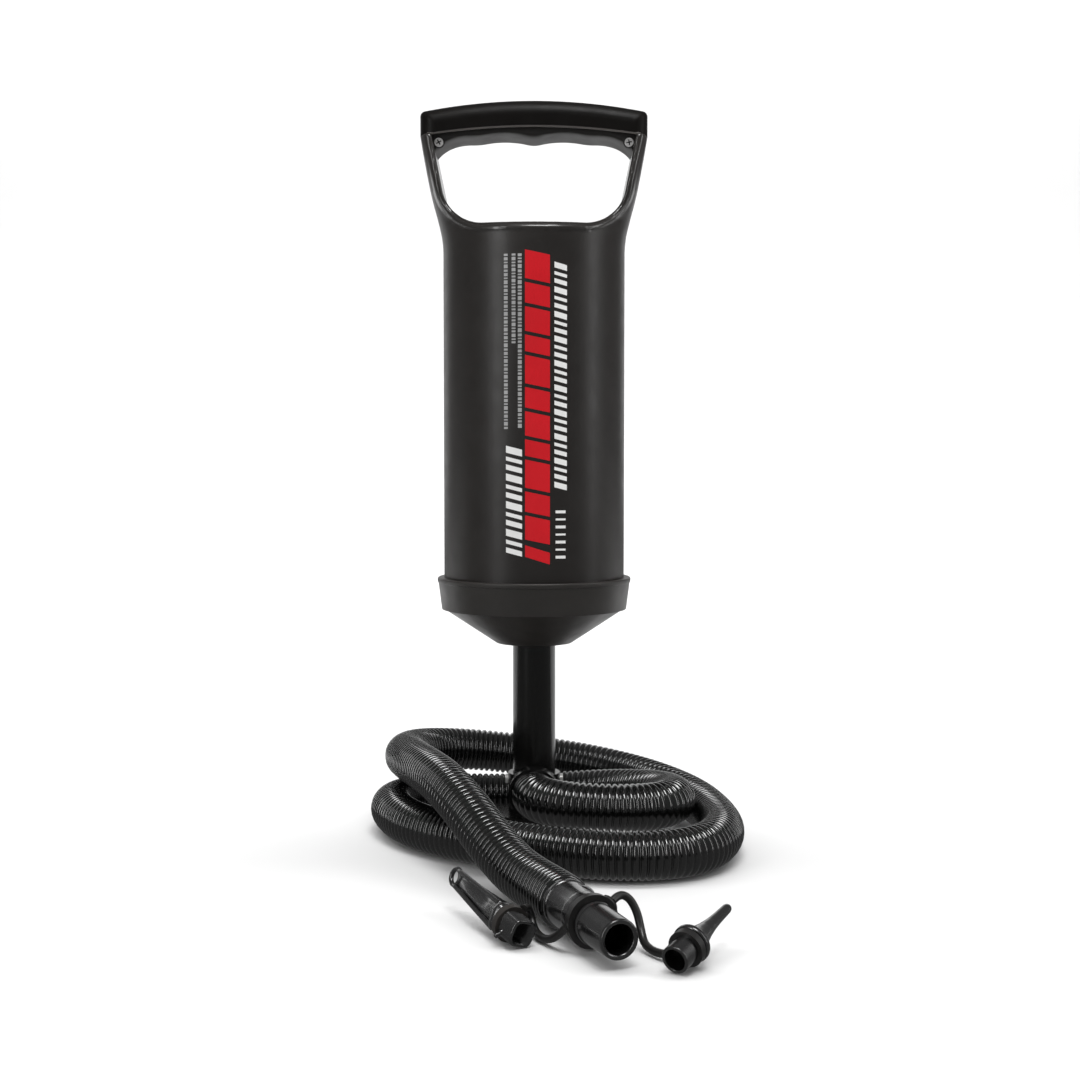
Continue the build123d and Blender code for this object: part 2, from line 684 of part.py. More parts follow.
# the eye lies flat at the tip, so its axis leans back only as far as the adaptor does
eye_plane = Plane(
    origin=loop_plane.origin + loop_plane.z_dir * (loop_length - EYE_R),
    x_dir=loop_plane.z_dir,
    z_dir=Vector(0, 0, 1) - loop_plane.z_dir * loop_plane.z_dir.Z,
)
with BuildPart() as loop_adaptor:
    with BuildSketch(loop_plane):
        Circle(ADAPTOR_R)
    extrude(amount=LOOP_BARREL)
    with BuildSketch(loop_plane.offset(LOOP_BARREL)):
        Circle(ADAPTOR_RIM_R)
    extrude(amount=ADAPTOR_RIM_T)
    with BuildSketch(loop_plane.offset(LOOP_BARREL + ADAPTOR_RIM_T)):
        Ellipse(5.4, 4.0)
    with BuildSketch(loop_plane.offset(loop_length - 7)):
        Ellipse(2.7, 1.7)
    loft()
    with BuildSketch(loop_plane):
        Circle(4.2)
    extrude(amount=LOOP_BARREL + 1, mode=Mode.SUBTRACT)
    with BuildSketch(eye_plane):
        Circle(EYE_R)
    extrude(amount=1.5, both=True)
    with BuildSketch(eye_plane):
        Circle(EYE_R - 1.6)
    extrude(amount=6, both=True, mode=Mode.SUBTRACT)
finish(loop_adaptor.part, "loop_adaptor")

with BuildPart() as loop_adaptor_ring:
    with BuildSketch(loop_plane.offset(9)):
        Circle(7.2)
        Circle(ADAPTOR_R, mode=Mode.SUBTRACT)
    extrude(amount=3)
finish(loop_adaptor_ring.part, "loop_adaptor_ring")
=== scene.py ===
"""Looks for the double-action hand pump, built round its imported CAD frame.

Metres, +Z up, -Y front. Sizes that belong to a moulding are in millimetres and meet MM late."""

import json
from math import cos, pi, radians, sin

import bpy
import numpy as np
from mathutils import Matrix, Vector


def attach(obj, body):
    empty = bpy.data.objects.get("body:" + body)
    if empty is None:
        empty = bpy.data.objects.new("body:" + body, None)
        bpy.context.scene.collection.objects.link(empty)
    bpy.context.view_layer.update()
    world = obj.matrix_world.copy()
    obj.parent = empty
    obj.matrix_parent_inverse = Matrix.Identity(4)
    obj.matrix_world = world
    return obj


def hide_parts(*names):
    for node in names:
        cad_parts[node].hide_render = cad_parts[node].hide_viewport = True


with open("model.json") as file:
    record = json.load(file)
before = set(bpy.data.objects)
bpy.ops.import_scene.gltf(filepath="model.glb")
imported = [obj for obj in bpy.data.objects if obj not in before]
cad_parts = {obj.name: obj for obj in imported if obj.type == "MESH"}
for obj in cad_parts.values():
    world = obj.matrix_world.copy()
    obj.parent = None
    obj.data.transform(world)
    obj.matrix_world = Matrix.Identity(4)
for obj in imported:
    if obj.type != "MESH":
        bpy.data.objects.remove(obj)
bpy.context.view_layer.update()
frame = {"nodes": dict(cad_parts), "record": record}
nodes = frame["nodes"]
scene = bpy.context.scene
scene.view_settings.view_transform = "Standard"

MM = 0.001

# ------------------------------------------------------------------ camera
# The eye level with the cylinder's lower half, looking slightly down.
EYE = (0.0029, -0.750, 0.185)
PITCH = radians(3.0)
LENS = 51.0

camera = bpy.data.objects.new("camera", bpy.data.cameras.new("camera"))
camera.data.lens = LENS
camera.location = EYE
camera.rotation_euler = (pi / 2 - PITCH, 0, 0)
scene.collection.objects.link(camera)
scene.camera = camera

# ------------------------------------------------------------------ cord routes
# The same corners as the CAD routes, in millimetres.
HOSE_D = 22.0 * MM
STRAP_D = 3.2 * MM
HOSE_ROUTE = [
    # out of the elbow and round the inner loop
    (0, -15, 24), (0, -27, 24), (7, -37.5, 24), (20, -43.5, 23.6), (42, -44.5, 22.8),
    (62.5, -36.5, 22.4), (68.8, -15.5, 21.6), (61.5, 8, 19.2), (42, 26, 16), (14, 35, 13),
    # down to the floor on the left and across the front
    (-13, 36, 11.2), (-38, 37.5, 11.2), (-60, 35, 11.2), (-72.5, 18, 11.2), (-68, -8, 11.2),
    (-52, -37, 11.2), (-22, -61, 11.2), (10, -79, 11.2), (46, -88, 11.2), (75, -77, 11.2),
    # round the right and over the top at the back
    (88.5, -47, 11.2), (88.5, -10, 11.2), (80, 23, 13.5), (58, 50, 17.5), (28, 65, 22),
    (-4, 71.5, 25.5), (-36, 71, 29), (-60, 56, 32), (-67, 28, 34.5), (-60, 0, 36.2),
    # over its own turns to the front, and down to the nozzle
    (-51, -26, 37), (-42, -50, 36.5), (-31, -74, 31), (-18.5, -97, 20.3), (-8, -115.5, 13.4),
    (0.3, -130, 11.4), (7, -143, 11.2), (12.7, -157, 11.2),
]
RIGHT_STRAP_ROUTE = [
    (30.3, -177.6, 17.8), (33, -174.4, 19.8), (37, -173.4, 18), (39.9, -174.8, 13),
    (41.1, -177.6, 7.4), (42, -182, 3.2), (44.3, -187.6, 2.2), (47.8, -192.8, 2.4),
    (51.6, -197.5, 3.6),
]
LEFT_STRAP_ROUTE = [
    (12.9, -185.5, 10.3), (9.4, -181.6, 5.4), (5.7, -176.2, 2.4), (2.4, -170.3, 2.2),
    (0.4, -164.2, 3.4), (-0.7, -160.8, 7.5), (-2.2, -163.3, 11.8), (-3.5, -168.9, 12.2),
]


def route_curve(name, route):
    """A smooth open spline whose control points are the route's corners."""
    data = bpy.data.curves.new(name, "CURVE")
    data.dimensions = "3D"
    data.resolution_u = 24
    spline = data.splines.new("NURBS")
    spline.points.add(len(route) - 1)
    for point, place in zip(spline.points, route):
        point.co = (*(MM * c for c in place), 1)
    spline.order_u = 3
    spline.use_endpoint_u = True
    obj = bpy.data.objects.new(name, data)
    scene.collection.objects.link(obj)
    return obj


def spline_line(name, route):
    """Points along a route's spline, and how far along it each one is."""
    guide = route_curve(name, route)
    bpy.context.view_layer.update()
    mesh = bpy.data.meshes.new_from_object(guide)
    points = np.array([v.co for v in mesh.vertices])
    bpy.data.objects.remove(guide)
    bpy.data.meshes.remove(mesh)
    along = np.concatenate([[0], np.cumsum(np.linalg.norm(np.diff(points, axis=0), axis=1))])
    return points, along


def resample(points, along, stations):
    """Points at the given distances along a line."""
    return np.stack([np.interp(stations, along, points[:, k]) for k in range(3)], axis=1)


def carried_frames(line):
    """Tangent and two normals at each point, carried along without twisting."""
    tangents = np.gradient(line, axis=0)
    tangents /= np.linalg.norm(tangents, axis=1)[:, None]
    side = np.cross(tangents[0], (0.0, 0.0, 1.0))
    side /= np.linalg.norm(side)
    sides = []
    for tangent in tangents:
        side = side - tangent * (side @ tangent)
        side /= np.linalg.norm(side)
        sides.append(side)
    sides = np.array(sides)
    return tangents, sides, np.cross(tangents, sides)


def rings_round(line, radius, segments):
    """Points of a ring round each point of a line; radius is one value or one for each point."""
    _, sides, ups = carried_frames(line)
    turn = np.linspace(0, 2 * pi, segments, endpoint=False)
    spokes = (np.cos(turn)[None, :, None] * sides[:, None]
              + np.sin(turn)[None, :, None] * ups[:, None])
    reach = np.broadcast_to(radius, len(line))[:, None, None]
    return (line[:, None] + reach * spokes).reshape(-1, 3)


def new_mesh(name, points, faces, smooth=True):
    mesh = bpy.data.meshes.new(name)
    mesh.from_pydata([tuple(p) for p in points], [], [tuple(f) for f in faces])
    mesh.validate()
    if smooth:
        mesh.shade_smooth()
    obj = bpy.data.objects.new(name, mesh)
    scene.collection.objects.link(obj)
    return obj


def tube_faces(rings, segments, capped=True):
    """Quads between neighbouring rings, and a cap at each end where capped is set."""
    faces = []
    for i in range(rings - 1):
        for j in range(segments):
            k = (j + 1) % segments
            faces.append((i * segments + j, i * segments + k, (i + 1) * segments + k,
                          (i + 1) * segments + j))
    if capped:
        faces.append(tuple(reversed(range(segments))))
        faces.append(tuple(range((rings - 1) * segments, rings * segments)))
    return faces


def closed_faces(rings, segments):
    """Quads between neighbouring rings, the last joined to the first."""
    return [(i * segments + j, i * segments + (j + 1) % segments,
             (i + 1) % rings * segments + (j + 1) % segments, (i + 1) % rings * segments + j)
            for i in range(rings) for j in range(segments)]


# ------------------------------------------------------------------ hose and straps
RIB_PITCH = 3.0 * MM
RIB_DEPTH = 1.25 * MM
RIB_PHASES = np.array([0, 0.09, 0.17, 0.25, 0.4, 0.6, 0.75, 0.83, 0.91])  # rings in one pitch
GROOVE_SHARE = 0.88  # the crest is level where the wave is higher than this
CREST_ROUND, CREST_CROWN = 0.8, 0.07  # how round a groove's sides are, and how crowned a crest
HOSE_SEGMENTS = 32
PATH_STEP = 3  # every third ring's centre is a point of the hose's path


def corrugated_hose():
    """The hose as ribs: a broad rounded crest and a narrow valley in each pitch."""
    points, along = spline_line("hose_guide", HOSE_ROUTE)
    length = along[-1]
    ribs = round(length / RIB_PITCH)
    phases = np.concatenate([(np.arange(ribs)[:, None] + RIB_PHASES).ravel(), [ribs]])
    line = resample(points, along, phases * length / ribs)
    wave = np.abs(np.sin(pi * phases))
    crest = np.minimum(wave / GROOVE_SHARE, 1) ** CREST_ROUND * (1 - CREST_CROWN * (1 - wave))
    radius = HOSE_D / 2 - RIB_DEPTH * (1 - crest)
    hose = new_mesh("hose_corrugated", rings_round(line, radius, HOSE_SEGMENTS),
                    tube_faces(len(line), HOSE_SEGMENTS))
    return hose, line[::PATH_STEP], length


def strap(name, route):
    """A round strap along its route."""
    obj = route_curve(name, route)
    obj.data.bevel_depth = STRAP_D / 2
    obj.data.bevel_resolution = 6
    obj.data.use_fill_caps = True
    return obj


hose, hose_path, hose_length = corrugated_hose()
right_strap = strap("strap_right", RIGHT_STRAP_ROUTE)
left_strap = strap("strap_left", LEFT_STRAP_ROUTE)


# ------------------------------------------------------------------ materials
def shader(name, color, roughness, **sockets):
    """A material with constants on its principled shader, its node tree and that shader."""
    material = bpy.data.materials.new(name)
    material.use_nodes = True
    tree = material.node_tree
    principled = tree.nodes["Principled BSDF"]
    principled.inputs["Base Color"].default_value = (*color, 1)
    principled.inputs["Roughness"].default_value = roughness
    for socket, value in sockets.items():
        principled.inputs[socket.replace("_", " ")].default_value = value
    return material, tree, principled


def noise(tree, scale, detail):
    """Noise that is fixed to the object's own coordinates."""
    place = tree.nodes.new("ShaderNodeTexCoord")
    texture = tree.nodes.new("ShaderNodeTexNoise")
    texture.inputs["Scale"].default_value = scale
    texture.inputs["Detail"].default_value = detail
    tree.links.new(place.outputs["Object"], texture.inputs["Vector"])
    return texture


NOISE_RANGE = (0.3, 0.7)  # where most of a noise texture's values lie


def spread(tree, value, low, high):
    """Map a noise value on to a range."""
    ramp = tree.nodes.new("ShaderNodeMapRange")
    ramp.inputs["From Min"].default_value, ramp.inputs["From Max"].default_value = NOISE_RANGE
    ramp.inputs["To Min"].default_value = low
    ramp.inputs["To Max"].default_value = high
    tree.links.new(value, ramp.inputs["Value"])
    return ramp.outputs["Result"]


def tint(tree, value, dark, light):
    """Map a noise value on to colours between dark and light."""
    ramp = tree.nodes.new("ShaderNodeValToRGB")
    for stop, position, color in zip(ramp.color_ramp.elements, NOISE_RANGE, (dark, light)):
        stop.position = position
        stop.color = (*color, 1)
    tree.links.new(value, ramp.inputs["Fac"])
    return ramp.outputs["Color"]


def bump(tree, principled, height, strength, distance):
    """Raise the surface's shading by a height value."""
    node = tree.nodes.new("ShaderNodeBump")
    node.inputs["Strength"].default_value = strength
    node.inputs["Distance"].default_value = distance
    tree.links.new(height, node.inputs["Height"])
    tree.links.new(node.outputs["Normal"], principled.inputs["Normal"])


WAVE_TURNS = 20.0  # radians of a wave texture's bands in one unit of its scale
CLOUD_SCALE, SMEAR_SCALE = 55.0, 120.0
SHEEN_SWING = 0.1
RELIEF_DEPTH = 0.05 * MM


def level_bands(tree, spacing):
    """Waves up the object's own height, spacing metres apart."""
    place = tree.nodes.new("ShaderNodeTexCoord")
    wave = tree.nodes.new("ShaderNodeTexWave")
    wave.bands_direction = "Z"
    wave.inputs["Scale"].default_value = 2 * pi / (WAVE_TURNS * spacing)
    tree.links.new(place.outputs["Object"], wave.inputs["Vector"])
    return wave


def moulded(name, color, roughness, grain=1800.0, grain_strength=0.25, mottle=0.12, lines=None,
            **sockets):
    """Moulded plastic: a fine spark-eroded grain, faint mottling and uneven sheen.

    lines is the spacing of fine level tool marks, in metres, where the mould has them."""
    material, tree, principled = shader(name, color, roughness, **sockets)
    cloud = noise(tree, CLOUD_SCALE, 4.0)
    dark = tuple(c * (1 - mottle) for c in color)
    light = tuple(c * (1 + mottle) for c in color)
    tree.links.new(tint(tree, cloud.outputs["Fac"], dark, light), principled.inputs["Base Color"])
    smear = noise(tree, SMEAR_SCALE, 3.0)
    sheen = spread(tree, smear.outputs["Fac"], roughness * (1 - SHEEN_SWING),
                   roughness * (1 + SHEEN_SWING))
    tree.links.new(sheen, principled.inputs["Roughness"])
    relief = level_bands(tree, lines) if lines else noise(tree, grain, 2.0)
    bump(tree, principled, relief.outputs["Fac"], grain_strength, RELIEF_DEPTH)
    return material


# finishes: base colour in linear light, then roughness
MATERIALS = {
    "body": moulded("body_plastic", (0.0135, 0.0115, 0.0103), 0.37),
    "rim": moulded("rim_plastic", (0.0135, 0.0115, 0.0103), 0.32, grain_strength=0.05,
                   Coat_Weight=0.7, Coat_Roughness=0.16),
    "grip": moulded("grip_plastic", (0.004, 0.0033, 0.0028), 0.42, Specular_IOR_Level=0.14),
    "collar": moulded("collar_plastic", (0.021, 0.0188, 0.017), 0.42),
    "rod": moulded("rod_plastic", (0.003, 0.003, 0.0028), 0.2, grain_strength=0.05),
    "hose": moulded("hose_plastic", (0.0022, 0.0024, 0.0022), 0.17, grain_strength=0.03,
                    Specular_IOR_Level=1.0, Coat_Weight=0.4, Coat_Roughness=0.1),
    "nozzle": moulded("nozzle_plastic", (0.004, 0.004, 0.0042), 0.24, grain_strength=0.1,
                      Specular_IOR_Level=1.0, Coat_Weight=1.0, Coat_Roughness=0.16),
    "strap": moulded("strap_rubber", (0.008, 0.0078, 0.0075), 0.34, grain_strength=0.15,
                     Specular_IOR_Level=0.7),
    "seal": moulded("seal_rubber", (0.02, 0.02, 0.02), 0.6),
    "inner": moulded("inner_plastic", (0.55, 0.55, 0.52), 0.4, mottle=0.03),
    "steel": moulded("zinc_steel", (0.72, 0.71, 0.7), 0.35, mottle=0.08, Metallic=0.6),
    "insert": moulded("insert_plastic", (0.015, 0.0132, 0.012), 0.5, lines=0.0013),
    # the seam bead's finish is far lighter than the grip: a painted highlight for the bright line
    # along the seam
    "ridge": moulded("ridge_plastic", (0.09, 0.083, 0.078), 0.42),
    "red_ink": moulded("red_ink", (0.5, 0.006, 0.012), 0.45, mottle=0.05, Specular_IOR_Level=0.2),
    "white_ink": moulded("white_ink", (0.7, 0.7, 0.69), 0.45, mottle=0.04, Specular_IOR_Level=0.2),
    "grey_ink": moulded("grey_ink", (0.3, 0.3, 0.3), 0.45, mottle=0.1, Specular_IOR_Level=0.2),
}
# the record's material slot that each finish belongs to
SLOT_OF = {
    "body": "body_plastic",
    "grip": "grip_plastic",
    "collar": "collar_plastic",
    "rod": "rod_plastic",
    "hose": "hose_plastic",
    "nozzle": "nozzle_plastic",
    "strap": "strap_rubber",
    "seal": "seal_rubber",
    "inner": "inner_plastic",
    "steel": "steel",
}
FINISH_OF = {slot: finish for finish, slot in SLOT_OF.items()}
SLOT_OF.update(insert="body_plastic", ridge="body_plastic", red_ink="body_plastic",
               white_ink="body_plastic", grey_ink="body_plastic")


def paint(obj, finish):
    """Give a finish to every face of a piece."""
    obj.data.materials.clear()
    obj.data.materials.append(MATERIALS[finish])
    return obj


def dress(obj, finish, body):
    """A new piece's material and body."""
    paint(obj, finish)
    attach(obj, body)
    return obj


# every CAD node takes the finish of its own slot
for part in frame["record"]["subparts"]:
    paint(nodes[part["node"]], FINISH_OF[part["material_slot"]])
    nodes[part["node"]].data.shade_smooth()

paint(nodes["loop_adaptor_ring"], "collar")  # this ring is a shade lighter than its strap

dress(hose, "hose", "stand")
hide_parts("hose")
dress(right_strap, "strap", "stand")
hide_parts("right_strap")
dress(left_strap, "strap", "stand")
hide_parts("left_strap")

# ------------------------------------------------------------------ cylinder and handle shell
# Heights and radii of the CAD shell, in millimetres.
BODY_R, BORE_R = 44.0, 41.8
SHELL_FOOT, CHAMBER_TOP, DECK_TOP = 115.0, 287.2, 295.8
FLARE_Z = (284.0, 292.0, 300.0, 310.0, 321.0, 334.0, 350.0)
FLARE_WIDE = (44.0, 44.6, 46.4, 49.0, 51.2, 53.5, 56.0)
FLARE_DEEP = (44.0, 43.4, 41.0, 33.5, 25.2, 19.0, 16.4)
WINDOW_HALF, WINDOW_SLOPE, WINDOW_CORNER = 39.9, 0.2, 16.0
SEAM_MIDDLE, SEAM_DROP, GRIP_HALF = 343.4, 4.4, 54.3
# The section is an oval up to ROUND_TO and nearly square from SQUARE_FROM up.
ROUND_TO, SQUARE_FROM, SQUARE_POWER, SQUARE_EASE = 298.0, 338.0, 8.0, 1.5
RIM_ROUND, ARM_ROUND = 4.2, 1.3
LIP_WIDTH, LIP_HEIGHT, LIP_BLEND, LIP_FADE = 4.6, 0.8, 1.6, 4.0
RIM_BELOW = 12.0  # how far under the deck's top the rim can reach
RIM_DIP, RIM_DIP_HALF = 1.3, 36.0  # how far the opening's floor dips in its middle
INTAKE_RING, INTAKE_HOLE_R, INTAKE_HOLES = 20.0, 2.6, 8


def smooth_profile(z, knots, values):
    """A smooth curve through the flare's sections, level below the first."""
    knots, values = np.array(knots), np.array(values)
    slopes = np.gradient(values, knots)
    slopes[0] = 0.0
    z = np.clip(z, knots[0], knots[-1])
    k = np.clip(np.searchsorted(knots, z, side="right") - 1, 0, len(knots) - 2)
    span = knots[k + 1] - knots[k]
    t = (z - knots[k]) / span
    return ((2 * t**3 - 3 * t**2 + 1) * values[k] + (t**3 - 2 * t**2 + t) * span * slopes[k]
            + (3 * t**2 - 2 * t**3) * values[k + 1] + (t**3 - t**2) * span * slopes[k + 1])


def seam_height(x):
    """Height of the seam between the grip cap and what is under it."""
    radius = (GRIP_HALF**2 + SEAM_DROP**2) / (2 * SEAM_DROP)
    return SEAM_MIDDLE - radius + np.sqrt(radius**2 - np.clip(x, -60, 60) ** 2)


def window_distance(x, z):
    """Distance from the hand opening's outline, negative inside the opening."""
    lean = 1 / np.hypot(1, WINDOW_SLOPE)
    side = (np.abs(x) - WINDOW_HALF - WINDOW_SLOPE * (z - DECK_TOP)) * lean
    below = DECK_TOP - RIM_DIP * np.maximum(1 - (x / RIM_DIP_HALF) ** 2, 0) - z
    corner = np.hypot(np.maximum(side + WINDOW_CORNER, 0), np.maximum(below + WINDOW_CORNER, 0))
    return np.minimum(np.maximum(side, below), -WINDOW_CORNER) + corner


def round_and(a, b, radius):
    """Intersection of two solids' distances with its edge rounded."""
    corner = np.hypot(np.maximum(a + radius, 0), np.maximum(b + radius, 0))
    return np.minimum(np.maximum(a, b), -radius) + corner


def shell_distance(p):
    """Distance from the shell's surface, negative inside the plastic, in millimetres."""
    x, y, z = p[..., 0], p[..., 1], p[..., 2]
    wide = smooth_profile(z, FLARE_Z, FLARE_WIDE)
    deep = smooth_profile(z, FLARE_Z, FLARE_DEEP)
    square = np.clip((z - ROUND_TO) / (SQUARE_FROM - ROUND_TO), 0, 1)
    power = 2 + (SQUARE_POWER - 2) * square**SQUARE_EASE
    u, v = np.abs(x) / wide + 1e-6, np.abs(y) / deep + 1e-6
    k = (u**power + v**power) ** (1 / power)
    steep = k ** (1 - power) * np.hypot(u ** (power - 1) / wide, v ** (power - 1) / deep)
    outside = (k - 1) / steep
    opening = window_distance(x, z)
    near = np.clip((LIP_WIDTH - opening) / LIP_BLEND, 0, 1)
    above_deck = np.clip((z - DECK_TOP + RIM_BELOW) / LIP_FADE, 0, 1)
    outside = outside - LIP_HEIGHT * near**2 * (3 - 2 * near) * above_deck
    solid = round_and(outside, -opening, RIM_ROUND + (ARM_ROUND - RIM_ROUND) * square)
    solid = np.maximum(solid, z - seam_height(x))
    solid = np.maximum(solid, SHELL_FOOT - z)
    bore = np.maximum(np.hypot(x, y) - BORE_R, z - CHAMBER_TOP)
    solid = np.maximum(solid, -bore)
    turn = np.mod(np.arctan2(y, x) + pi / INTAKE_HOLES, 2 * pi / INTAKE_HOLES) - pi / INTAKE_HOLES
    across = np.hypot(x, y)
    hole = np.hypot(across * np.cos(turn) - INTAKE_RING, across * np.sin(turn)) - INTAKE_HOLE_R
    return np.maximum(solid, -np.maximum(hole, z - DECK_TOP - 1))


def surface_net(distance, xs, ys, zs):
    """A quad mesh of the surface where a distance field is zero, on a grid of levels."""
    grid = np.stack(np.meshgrid(xs, ys, zs, indexing="ij"), axis=-1)
    field = distance(grid)
    inside = field < 0
    axes = (xs, ys, zs)
    cells = np.zeros([n - 1 for n in field.shape], int)
    corners = [(i, j, k) for i in (0, 1) for j in (0, 1) for k in (0, 1)]
    for i, j, k in corners:
        cells += inside[i:i + cells.shape[0], j:j + cells.shape[1], k:k + cells.shape[2]]
    active = np.argwhere((cells > 0) & (cells < 8))
    index = np.full(cells.shape, -1)
    index[tuple(active.T)] = np.arange(len(active))
    centre = np.zeros((len(active), 3))
    weight = np.zeros(len(active))
    for a in corners:
        for axis in range(3):
            if a[axis]:
                continue
            b = list(a)
            b[axis] = 1
            pa, pb = active + a, active + b
            fa, fb = field[tuple(pa.T)], field[tuple(pb.T)]
            cross = (fa < 0) != (fb < 0)
            t = np.where(cross, fa / np.where(cross, fa - fb, 1), 0)
            at = np.stack([axes[m][pa[:, m]] for m in range(3)], axis=1)
            to = np.stack([axes[m][pb[:, m]] for m in range(3)], axis=1)
            centre += np.where(cross[:, None], at + (to - at) * t[:, None], 0)
            weight += cross
    centre /= weight[:, None]
    faces = []
    for axis in range(3):
        u, v = (axis + 1) % 3, (axis + 2) % 3
        low = [slice(None)] * 3
        high = [slice(None)] * 3
        low[axis], high[axis] = slice(0, -1), slice(1, None)
        first, second = inside[tuple(low)], inside[tuple(high)]
        edges = np.argwhere(first != second)
        edges = edges[(edges[:, u] > 0) & (edges[:, v] > 0)]
        leaving = first[tuple(edges.T)]
        ring = []
        for du, dv in ((1, 1), (0, 1), (0, 0), (1, 0)):
            cell = edges.copy()
            cell[:, u] -= du
            cell[:, v] -= dv
            ok = (cell[:, u] < cells.shape[u]) & (cell[:, v] < cells.shape[v])
            cell[~ok] = 0
            ring.append(np.where(ok, index[tuple(cell.T)], -1))
        quads = np.stack(ring, axis=1)
        quads[~leaving] = quads[~leaving][:, ::-1]
        faces.append(quads[(quads >= 0).all(axis=1)])
    return centre, np.concatenate(faces)


def gradient(distance, points, step=0.02):
    """Slope of a distance field at each point."""
    slope = np.zeros_like(points)
    for axis in range(3):
        move = np.zeros(3)
        move[axis] = step
        slope[:, axis] = (distance(points + move) - distance(points - move)) / (2 * step)
    return slope


def build_shell():
    """The cylinder, flare and handle arms in one skin with a rolled rim round the opening."""
    across = np.arange(-57.5, 58, 1.25)
    deep = np.arange(-46.0, 46.5, 1.25)
    low = np.linspace(SHELL_FOOT - 1, 262, 26)
    high = np.arange(263.0, 346.0, 1.0)
    points, faces = surface_net(shell_distance, across, deep, np.concatenate([low, high]))
    for _ in range(4):  # each pass pulls the points closer to the true surface
        slope = gradient(shell_distance, points)
        size = np.maximum((slope**2).sum(axis=1), 0.25)
        points -= slope * (shell_distance(points) / size)[:, None]
    return new_mesh("shell_skin", points * MM, faces)


shell = dress(build_shell(), "body", "cylinder")
# the rolled rim of the opening comes out of the mould smoother than the rest
shell.data.materials.append(MATERIALS["rim"])
for polygon in shell.data.polygons:
    x, _, z = polygon.center / MM
    on_rim = z > DECK_TOP - RIM_BELOW and abs(window_distance(x, z)) < LIP_WIDTH
    polygon.material_index = int(on_rim)
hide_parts("cylinder_shell")


# ------------------------------------------------------------------ finger insert
INSERT_DEPTH = 25.0
INSERT_TUCK = 1.6  # how far each end runs into its arm
INSERT_TOP_GAP = 0.05  # under the cap
INSERT_ROUND, INSERT_LEDGE = 3.4, 0.8  # height of the rounded underside, least flat height above
INSERT_BOW = 0.4  # how square the underside is across: 1 is an oval
RECESSES = (
    ((0, 338.0), (12, 340.3), (25.5, 338.6)),
    ((25.5, 338.6), (36, 338.0), (48.0, 330.2)),
)
RECESS_END = RECESSES[1][2][0]
RIDGE_ROUND = 3.0


def arc_height(x, first, middle, last):
    """Height at x of the arc through three points."""
    (ax, az), (bx, bz), (cx, cz) = first, middle, last
    d = 2 * (ax * (bz - cz) + bx * (cz - az) + cx * (az - bz))
    a2, b2, c2 = ax**2 + az**2, bx**2 + bz**2, cx**2 + cz**2
    ox = (a2 * (bz - cz) + b2 * (cz - az) + c2 * (az - bz)) / d
    oz = (a2 * (cx - bx) + b2 * (ax - cx) + c2 * (bx - ax)) / d
    radius = np.hypot(ax - ox, az - oz)
    return oz + np.sqrt(np.maximum(radius**2 - (x - ox) ** 2, 0))


def underside(x):
    """Height of the insert's lowest line at x, its ridges rounded by a running mean."""
    near = np.abs(x + np.linspace(-RIDGE_ROUND, RIDGE_ROUND, 9))
    return np.mean([arc_height(n, *RECESSES[0 if n < RECESSES[0][2][0] else 1]) for n in near])


def build_insert():
    """The insert as slices along its length, with a flat front and a rounded underside."""
    slices, steps = 161, 32
    points = []
    for t in np.linspace(-1, 1, slices):
        low = underside(abs(t) * RECESS_END)
        high = float(seam_height(t * RECESS_END)) - INSERT_TOP_GAP
        side = min(low + INSERT_ROUND, high - INSERT_LEDGE)
        section = [(-INSERT_DEPTH / 2, high)]
        for a in np.linspace(0, pi, steps):
            bow = np.sign(cos(a)) * abs(cos(a)) ** INSERT_BOW
            section.append((-INSERT_DEPTH / 2 * bow, side - (side - low) * sin(a) ** INSERT_BOW))
        section.append((INSERT_DEPTH / 2, high))
        for y, z in section:
            reach = WINDOW_HALF + WINDOW_SLOPE * (z - DECK_TOP) + INSERT_TUCK
            points.append((t * reach, y, z))
    return new_mesh("insert_fingers", np.array(points) * MM, tube_faces(slices, steps + 2))


insert = dress(build_insert(), "insert", "cylinder")
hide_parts("grip_insert")
split = insert.modifiers.new("crisp_corners", "EDGE_SPLIT")
split.split_angle = radians(50)


# ------------------------------------------------------------------ turned and swept pieces
def lathe(name, profile, origin, axis, segments=48):
    """A closed profile of (distance along, radius) turned about an axis, in millimetres."""
    axis = Vector(axis).normalized()
    side = axis.orthogonal().normalized()
    up = axis.cross(side)
    origin = Vector(origin)
    points = []
    for along, radius in profile:
        for k in range(segments):
            a = 2 * pi * k / segments
            points.append((origin + axis * along + (side * cos(a) + up * sin(a)) * radius) * MM)
    return new_mesh(name, points, closed_faces(len(profile), segments))


def rounded(profile, radius, steps=4):
    """A closed profile with every corner cut to a small arc."""
    out = []
    for k, here in enumerate(profile):
        here = Vector(here)
        before, after = Vector(profile[k - 1]), Vector(profile[(k + 1) % len(profile)])
        cut = min(radius, 0.45 * (before - here).length, 0.45 * (after - here).length)
        start = here + (before - here).normalized() * cut
        end = here + (after - here).normalized() * cut
        for t in np.linspace(0, 1, steps):
            out.append(start * (1 - t) ** 2 + here * 2 * t * (1 - t) + end * t**2)
    return out


BEAD_R, BEAD_SEGMENTS = 0.62, 12
BEAD_HALF, BEAD_OUT, BEAD_DROP = 50.5, 15.7, 0.25


